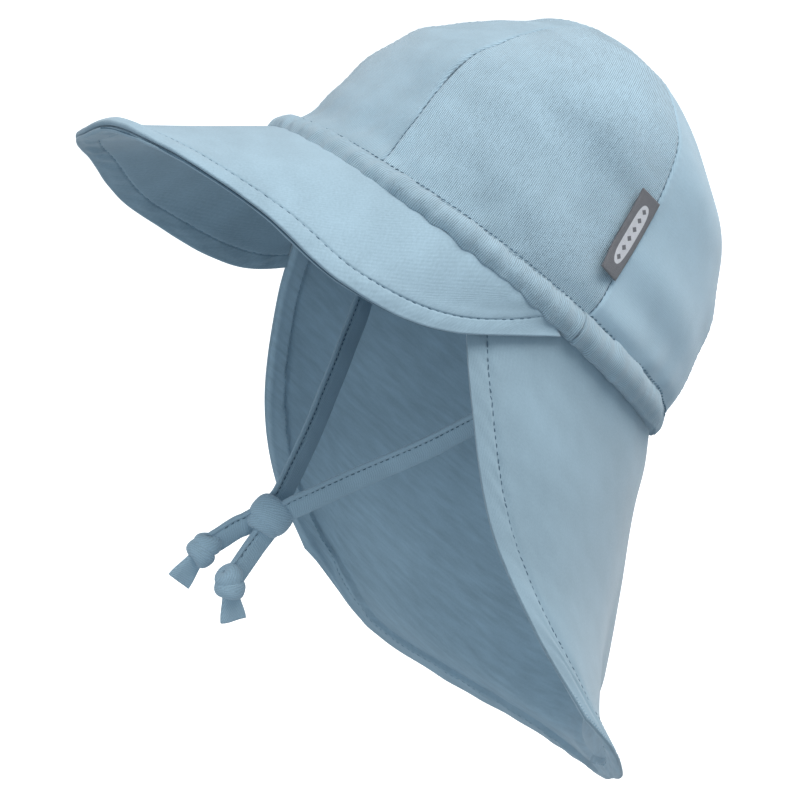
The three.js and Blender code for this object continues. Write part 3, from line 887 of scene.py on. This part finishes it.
def flap_surface(side, fall):
    """Outer face of the flap: side is -1 at the right corner and 1 at the left, fall is 1 at the hem."""
    share = np.abs(side)
    mirror = np.where(side < 0, -1, 1)

    def top(a):
        inset = CLEARANCE + PEAK_WALL + CLEARANCE - 0.8 * (1 - ease(0, 0.5, a))
        return upright(band_point(180 - a * (180 - FLAP_START), inset, FLAP_TUCK_UP + 0 * a))

    back = top(np.zeros(1))[0]
    hem = np.stack(
        [
            read(FLAP_HEM, side, "side") * (HALF_WIDTH + FLAP_SPREAD),
            read(FLAP_HEM, side, "back") * HALF_LENGTH,
            back[2] - read(FLAP_HEM, side, "down") * FLAP_LENGTH,
        ],
        -1,
    )
    root = top(share)
    root[..., 0] *= mirror
    place = root + (hem - root) * fall[..., None]
    place[..., 1] += -read(FLAP_NAPE, fall, "inward") * HALF_LENGTH * (1 - share) ** 1.6
    place[..., 1] += -read(FLAP_FRONT, fall, "forward") * FLAP_BOW * share
    place[..., 0] += read(FLAP_FRONT, fall, "out") * FLAP_BOW * share * mirror
    return place


HEM_STEPS = [0, 0.35, 0.8, 1.5, 2.5, 3.6, 4.8, 5.8, 6.3, 6.6, 6.85, 7.1, 7.4, 7.8, 8.6]
HEM_SEAM = 6.6
FLAP_LAYER = 1
TIP_CLEAR = 20  # how far from the flap's tip the hem's stitches stop
FOLD_INSET = 0.7
FOLD_FROM_TIP = 5


def hem_slant(sides):
    """How much farther a fall line runs than the shortest way to the hem, at each side."""
    hem = flap_surface(sides, 1 + 0 * sides)
    fall = unit(hem - flap_surface(sides, 0.97 + 0 * sides))
    along = unit(np.gradient(hem, axis=0))
    across = np.linalg.norm(np.cross(fall, along), axis=-1)
    count = 41
    across = np.convolve(np.pad(across, count // 2, mode="edge"), np.ones(count) / count, mode="valid")
    return 1 / np.clip(across, 0.35, 1)


def flap_grid():
    """Sides and falls of a grid with lines at set distances from the front edges and the hem."""
    fine_side = np.linspace(-1, 1, 701)
    fine_fall = np.linspace(0, 1, 81)[:, None]
    lengths = arc(flap_surface(fine_side + 0 * fine_fall, fine_fall + 0 * fine_side), 0)[-1]
    lengths = lengths / hem_slant(fine_side)
    border = np.array(HEM_STEPS)
    rows = [row * (lengths - border[-1]) / lengths for row in np.linspace(0, 1, 78)[:-1]]
    rows += [1 - distance / lengths for distance in border[::-1]]
    sides, falls = [], []
    for fall in rows:
        width = arc(flap_surface(fine_side[None, :], fall[None, :]), 1)[0]
        side = np.interp(border_steps(HEM_STEPS, width[-1], 190), width, fine_side)
        sides.append(side)
        falls.append(np.interp(side, fine_side, fall))
    return np.array(sides), np.array(falls)


def free_border(grid):
    """The flap's front edges and hem, down the right edge, round the back and up the left."""
    return np.concatenate([grid[:, 0], grid[-1, 1:], grid[-2::-1, -1]])


def to_line(points, line):
    """The distance from each point to a line of points."""
    start, step = line[:-1], np.diff(line, axis=0)
    t = np.clip(((points[:, None] - start) * step).sum(-1) / (step**2).sum(-1), 0, 1)
    return np.linalg.norm(points[:, None] - start - step * t[..., None], axis=-1).min(-1)


def neck_flap():
    side, fall = flap_grid()
    surface = flap_surface(side, fall)
    normal = grid_normals(surface)
    width, long = arc(surface, 1), arc(surface, 0)
    round_hem = width + long
    border = free_border(surface)
    from_edge = np.array([to_line(row, border) for row in surface])
    groove = -0.35 * bump(from_edge, HEM_SEAM, 0.5)
    rim = 0.3 * bump(from_edge, 2.6, 2.4) + 0.15 * bump(from_edge, HEM_SEAM + 2.2, 2)
    wave = noise(41, side * 5, fall * 2.5) * 0.8 * ease(0, 0.25, fall)
    pucker = noise(42, round_hem / 1.7) * 0.16 * bump(from_edge, HEM_WIDTH * 0.7, 3.5)
    gather = noise(43, side * 26, fall * 2) * 0.35 * np.exp(-fall * 9)
    rise = groove + rim + pucker + gather + wave
    outer = surface + normal * rise[..., None]
    folded = 1 - ease(HEM_WIDTH - 0.1, HEM_WIDTH + 0.25, from_edge)
    hem_soft = 1 + 0.12 * noise(44, round_hem / 2.2)
    wall = FLAP_LAYER + (HEM_WALL - FLAP_LAYER) * folded * hem_soft + groove * folded
    wall = wall * (0.4 + 0.6 * ease(0, 1.5, from_edge))
    wall = wall - 0.4 * bump(from_edge, HEM_WIDTH + 0.5, 0.35)
    inner = outer - normal * wall[..., None]
    uv = np.stack([width - width[:, -1:] / 2, long], -1)
    looks = [flap_cloth, flap_inside]
    piece = sheet("neck_flap_cloth", outer, inner, uv, looks, "flap_jersey", ["neck_flap"])
    rows = len(side)
    corners = np.zeros(len(piece.data.loops), int)
    piece.data.loops.foreach_get("vertex_index", corners)
    starts = np.zeros(len(piece.data.polygons), int)
    piece.data.polygons.foreach_get("loop_start", starts)
    inside = np.minimum.reduceat((corners % (2 * rows)) >= rows, starts)
    piece.data.polygons.foreach_set("material_index", inside.astype(np.int32))
    hem_stitches(outer, inner, normal, from_edge)
    return piece, surface


def hem_path(outer, inner, normal, from_edge, inset, from_tip=TIP_CLEAR):
    """Lines a set distance in from the flap's free border, on both faces, in runs clear of the tip."""
    border, face = free_border(outer)[3:-3], free_border(normal)[3:-3]
    along = arc(border, 0)
    at = np.arange(0, along[-1], 0.8)
    border, face = (lay(at, along, values) for values in (border, face))
    forward = np.gradient(border, axis=0)
    inward = unit(np.cross(forward, face))
    middle = outer[len(outer) // 2, outer.shape[1] // 2]
    inward = inward * np.sign(((middle - border) * inward).sum(-1).mean())
    place = border + inward * inset
    close = (from_edge < inset + 5) & (from_edge > inset - 3)
    tip = border[np.argmin(border[:, 2])]
    past_tip = np.linalg.norm(border - tip, axis=-1)
    runs, line = [], []
    for point, clear, away in zip(place, to_line(place, border), past_tip):
        if clear < 0.94 * inset or away < from_tip:
            runs.append(line)
            line = []
            continue
        nearest = np.argmin(((outer[close] - point) ** 2).sum(-1))
        out, low, up = outer[close][nearest], inner[close][nearest], normal[close][nearest]
        point = point - up * ((point - out) @ up)
        line.append([point, point - up * ((out - low) @ up), up])
    return [np.array(run) for run in [*runs, line] if len(run) > 20]


def hem_stitches(outer, inner, normal, from_edge):
    """Stitches along the hem on both faces, and a chain over the fold on the left side."""
    for number, run in enumerate(hem_path(outer, inner, normal, from_edge, HEM_SEAM)):
        out_line, in_line, up = run[:, 0], run[:, 1], run[:, 2]
        outside = f"flap_stitches_out_{number}", out_line, up, "hem_outside", "flap_jersey"
        inside = f"flap_stitches_in_{number}", in_line, -up, "hem_inside", "flap_jersey", 0, pale_thread
        stitches(*outside)
        stitches(*inside)
    fold = hem_path(outer, inner, normal, from_edge, FOLD_INSET, FOLD_FROM_TIP)[-1]
    fold = fold[: len(fold) // 2]
    over, up = fold[:, 0], fold[:, 2]
    stitches("flap_fold_chain", over, up, "fold_chain", "flap_jersey", 1.3, pale_thread)


flap, flap_outer = neck_flap()

# Sewn-in tab

def sewn_tab():
    across, rows = 9, 60
    low = float(crown_share_at(TAB_HEIGHT))
    seam = ("side", 0, 1)
    probe = 0.1
    ends = [crown_point(seam_angle(seam, s), np.array(s)) for s in (low, low + probe)]
    rise = TAB_LENGTH * probe / float(np.linalg.norm(ends[1] - ends[0]))
    u = np.linspace(0, 1, across)[None, :] + np.zeros((rows, 1))
    v = np.linspace(0, 1, rows)[:, None] + 0 * u
    share = low + v * rise
    angle = seam_angle(seam, share)
    degree = np.linalg.norm(crown_point(angle - 0.5, share) - crown_point(angle + 0.5, share), axis=-1)
    place = crown_point(angle - (1 - u) * TAB_WIDTH / degree, share)
    lift = CLEARANCE + TAB_THICKNESS + (1 - u) * TAB_LIFT + 1.8 * (1 - ease(0, 0.3, v)) * (1 - u)
    place = place + outwards(angle) * lift[..., None]
    normal = grid_normals(place)
    inner = place - normal * 0.7
    uv = np.stack([u * TAB_WIDTH, v * TAB_LENGTH], -1)
    sheet("sewn_tab_tape", upright(place), upright(inner), uv, woven_tape, "woven_tab", ["sewn_tab"])


sewn_tab()

# Chin strap: a folded strip on each side

def smooth_route(route, steps):
    """A smooth line through the points of a route, in millimetres."""
    points = np.array(route) / MM
    points = np.concatenate([[2 * points[0] - points[1]], points, [2 * points[-1] - points[-2]]])
    t = np.linspace(0, len(route) - 1, steps)
    i = np.minimum(t.astype(int), len(route) - 2)
    f = (t - i)[:, None]
    return spline([points[i + k] for k in range(4)], f)


def strap_section(around):
    """A flat strip with round edges, thinner along its stitched edge. Columns are width and thickness."""
    a = circle(around) + math.pi / around
    w, h = rounded(a, 0.5)
    w, h = w * STRAP_WIDTH / 2, h * STRAP_THICKNESS / 2
    stitch = w - (STRAP_WIDTH / 2 - 1.6)
    h = h * (1 - 0.55 * bump(stitch, 0, 0.45))
    h = h + np.sign(h) * (0.12 * bump(w, 0, 1.8) + 0.25 * bump(stitch, 0.9, 0.5))
    return w, h


def strap(name, route, nodes):
    steps, around = 300, 56
    line = smooth_route(route, steps)
    forward = unit(np.gradient(line, axis=0))
    across = np.array([1.0, 0, 0]) + np.zeros_like(line)
    face = unit(across - (across * forward).sum(-1, keepdims=True) * forward)
    width = unit(np.cross(forward, face))
    w, h = strap_section(around)
    along = arc(line, 0)
    wobble = noise(51 + len(name), along / 6) * 0.12
    thick = h[None, :, None] * (1 + wobble[:, None, None])
    rings = line[:, None] + width[:, None] * w[None, :, None] + face[:, None] * thick
    girth = np.arange(around) / around * 2 * (STRAP_WIDTH + STRAP_THICKNESS)
    uv = np.stack([girth[None, :] + 0 * along[:, None], along[:, None] + 0 * girth[None, :]], -1)
    piece = tube(name, rings, uv, strap_cloth, nodes)
    shown = slice(20, int(steps * 0.93))
    offset = STRAP_WIDTH / 2 - 1.6
    for suffix, sign in (("a", 1), ("b", -1)):
        seam = line[shown] + width[shown] * offset + face[shown] * (sign * STRAP_THICKNESS / 2 * 0.6)
        stitches(f"{name}_stitches_{suffix}", seam, face[shown] * sign, "strap", "strap_jersey")


# Knots: fat wraps of the strip, one over the other

def wrap(centre, axis, tilt, radius, band, thickness):
    """A closed wrap of the strip round an axis, tilted about X. band is its width along the axis."""
    steps, around = 72, 28
    axis = unit(np.array(axis, float))
    lean = math.radians(tilt)
    k = np.array([1.0, 0, 0])
    kept = k * (k @ axis)
    axis = kept + (axis - kept) * math.cos(lean) + np.cross(k, axis) * math.sin(lean)
    first = unit(np.cross(axis, np.array([0.3, 0.5, 0.8])))
    second = np.cross(axis, first)
    t, a = circle(steps), circle(around)
    spoke = first * np.cos(t)[:, None] + second * np.sin(t)[:, None]
    outside, along = rounded(a, 0.75)
    inside = rounded(a, 0.5)[0]
    out = np.where(np.cos(a) > 0, outside * thickness / 2, inside * radius)
    along = along * band / 2
    out = np.maximum(out - 0.08 * along**2 / (band / 2), 0.02 - radius)
    ring = centre + spoke[:, None] * (radius + out)[None, :, None] + axis * along[None, :, None]
    uv = np.stack([along[None, :] + 0 * t[:, None], radius * t[:, None] + 0 * along[None, :]], -1)
    return ring, uv


def knot_piece(name, wraps, nodes, end=None):
    """One mesh of closed wraps and, where given, the strip's short end."""
    points, faces, places, start = [], [], [], 0
    parts = [(ring, uv, True) for ring, uv in wraps]
    if end is not None:
        parts.append((*end, False))
    for ring, uv, closed in parts:
        p, f, w = ring_mesh(ring, uv, closed)
        points.append(p)
        faces.append(f + start)
        places.append(w)
        start += len(p)
    faces = np.concatenate(faces).tolist()
    return make_object(
        name, np.concatenate(points), faces, np.concatenate(places), knot_cloth, nodes
    )


def tail_end(knot_place, end_place):
    """The short free end of a strip beyond its knot, flaring and cut straight."""
    steps, around = 24, 32
    t = np.linspace(0, 1, steps)
    direction = unit(end_place - knot_place)
    across = np.array([1.0, 0, 0])
    face = unit(across - (across @ direction) * direction)
    width = np.cross(direction, face)
    a = circle(around) + math.pi / around
    w, h = rounded(a, 0.5)
    half = 2.6 + 1.9 * ease(0.2, 1, t)
    thick = 1.5 - 0.55 * ease(0.2, 1, t)
    line = knot_place + (end_place - knot_place) * t[:, None] * 1.08
    across, through = half[:, None] * w, thick[:, None] * h + 0.35 * np.sin(w * math.pi) * t[:, None]
    ring = line[:, None] + width * across[..., None] + face * through[..., None]
    long = float(np.linalg.norm(end_place - knot_place))
    uv = np.stack([across, t[:, None] * long + 0 * w], -1)
    return ring, uv


chin = knot_piece(
    "chin_knot_wraps",
    [
        wrap(CHIN_KNOT + (0, 0.6, 0.4), (0.1, -0.76, -0.65), 0, 3.9, 10, 6.6),
        wrap(CHIN_KNOT + (0, -2.4, -2.6), (0.1, -0.6, -0.8), 0, 3.3, 5.2, 5.4),
    ],
    ["chin_knot"],
)


def end_knot(name, centre, end, node):
    """Two fat wraps of the strip, one across the other, and the short end beyond them."""
    direction = unit(end - centre)
    return knot_piece(
        name,
        [
            wrap(centre - direction * 2.0, direction, 34, 2.3, 6.2, 4.8),
            wrap(centre + direction * 1.6, direction, -20, 2.6, 6.8, 5.0),
        ],
        [node],
        tail_end(centre, end + direction * 3.4),
    )


left_end = end_knot("end_knot_left_wraps", LEFT_END_KNOT, LEFT_TAIL_END, "end_knot_left")
right_end = end_knot("end_knot_right_wraps", RIGHT_END_KNOT, RIGHT_TAIL_END, "end_knot_right")
strap("strap_left_strip", LEFT_ROUTE, ["strap_left", "tail_left"])
strap("strap_right_strip", RIGHT_ROUTE, ["strap_right", "tail_right"])


# Stitches along the top of the band

BAND_STITCH_INSET = 0.3 * BAND_WALL


def band_stitches():
    angle = np.linspace(-CROSS_SEAM, CROSS_SEAM, 700)
    height = band_height(angle) + 0.1
    place = band_point(angle, BAND_STITCH_INSET + 0.9 * ease(60, 25, np.abs(angle)), height)
    out = upright(unit(outwards(angle) + (0, 0, 0.9)))
    stitches("band_stitches", upright(place), out, "band", "band_jersey", 0.35)
    angle = np.linspace(CROSS_SEAM + 1.5, 358.5 - CROSS_SEAM, 1000)
    from_front = 180 - np.abs(180 - angle)
    waver = 0.3 * noise(41, angle / 2.6, 0 * angle)
    inset = BAND_STITCH_INSET + (BAND_PROUD - BAND_STITCH_INSET - 0.2) * ease(118, 150, from_front)
    lift = 0.2 + 0.4 * bump(from_front, 125, 22)
    place = band_point(angle, inset, band_height(angle) + lift - 0.8 * pulled_in(from_front) + waver)
    out = upright(unit(outwards(angle) + (0, 0, 0.9)))
    stitches("band_gather_stitches", upright(place), out, "band_gather", "band_jersey", 0.5)


band_stitches()

# Stage: a pale floor well below the held-up cap, and soft light

LAMPS = [  # name, place and target in metres, size, power and colour
    ("key", (0.85, 1.2, 1.7), (0, 0, -0.02), 1.3, 23, (1, 0.965, 0.925)),
    ("top", (0.8, 0.1, 1.8), (0, 0, 0), 1.2, 27, (1, 0.95, 0.885)),
    ("fill", (1.1, -1.5, -0.4), (0, 0, 0), 1.4, 8, (0.92, 1, 1.04)),
]
FLOOR_BELOW = 300
FLOOR_SIZE = 12
FLOOR_LOOK = {
    "Base Color": (0.9, 0.9, 0.9, 1),
    "Roughness": 0.9,
    "Emission Color": (1, 1, 1, 1),
    "Emission Strength": 0.5,
}


def stage():
    mesh = bpy.data.meshes.new("floor")
    z = -FLOOR_BELOW * MM
    corners = [(x * FLOOR_SIZE, y * FLOOR_SIZE, z) for x, y in ((-1, -1), (1, -1), (1, 1), (-1, 1))]
    mesh.from_pydata(corners, [], [(0, 1, 2, 3)])
    floor = in_scene("floor", mesh)
    mesh.materials.append(Shader("floor_look", FLOOR_LOOK).material)
    floor.visible_diffuse = False


def area_light(name, place, target, size, power, colour):
    data = bpy.data.lights.new(name, "AREA")
    data.shape = "DISK"
    data.size = size
    data.energy = power
    data.color = colour
    aim(in_scene(name, data), place, Vector(target) - Vector(place))


def world_light(above, below, colour):
    """Soft light all round, stronger from above."""
    world = bpy.data.worlds.new("studio")
    world.use_nodes = True
    bpy.context.scene.world = world
    sky = Nodes(world.node_tree)
    place = sky.add("TexCoord", {}).outputs["Generated"]
    height = sky.add("SeparateXYZ", {0: place}).outputs["Z"]
    values = {"Value": height, "From Min": -0.5, "From Max": 0.6, "To Min": below, "To Max": above}
    background = sky.nodes["Background"]
    sky.links.new(sky.add("MapRange", values).outputs[0], background.inputs["Strength"])
    background.inputs["Color"].default_value = (*colour, 1)


stage()
world_light(0.6, 0.48, (0.84, 0.95, 1.04))
for lamp in LAMPS:
    area_light(*lamp)
bpy.context.scene.view_settings.view_transform = "Standard"
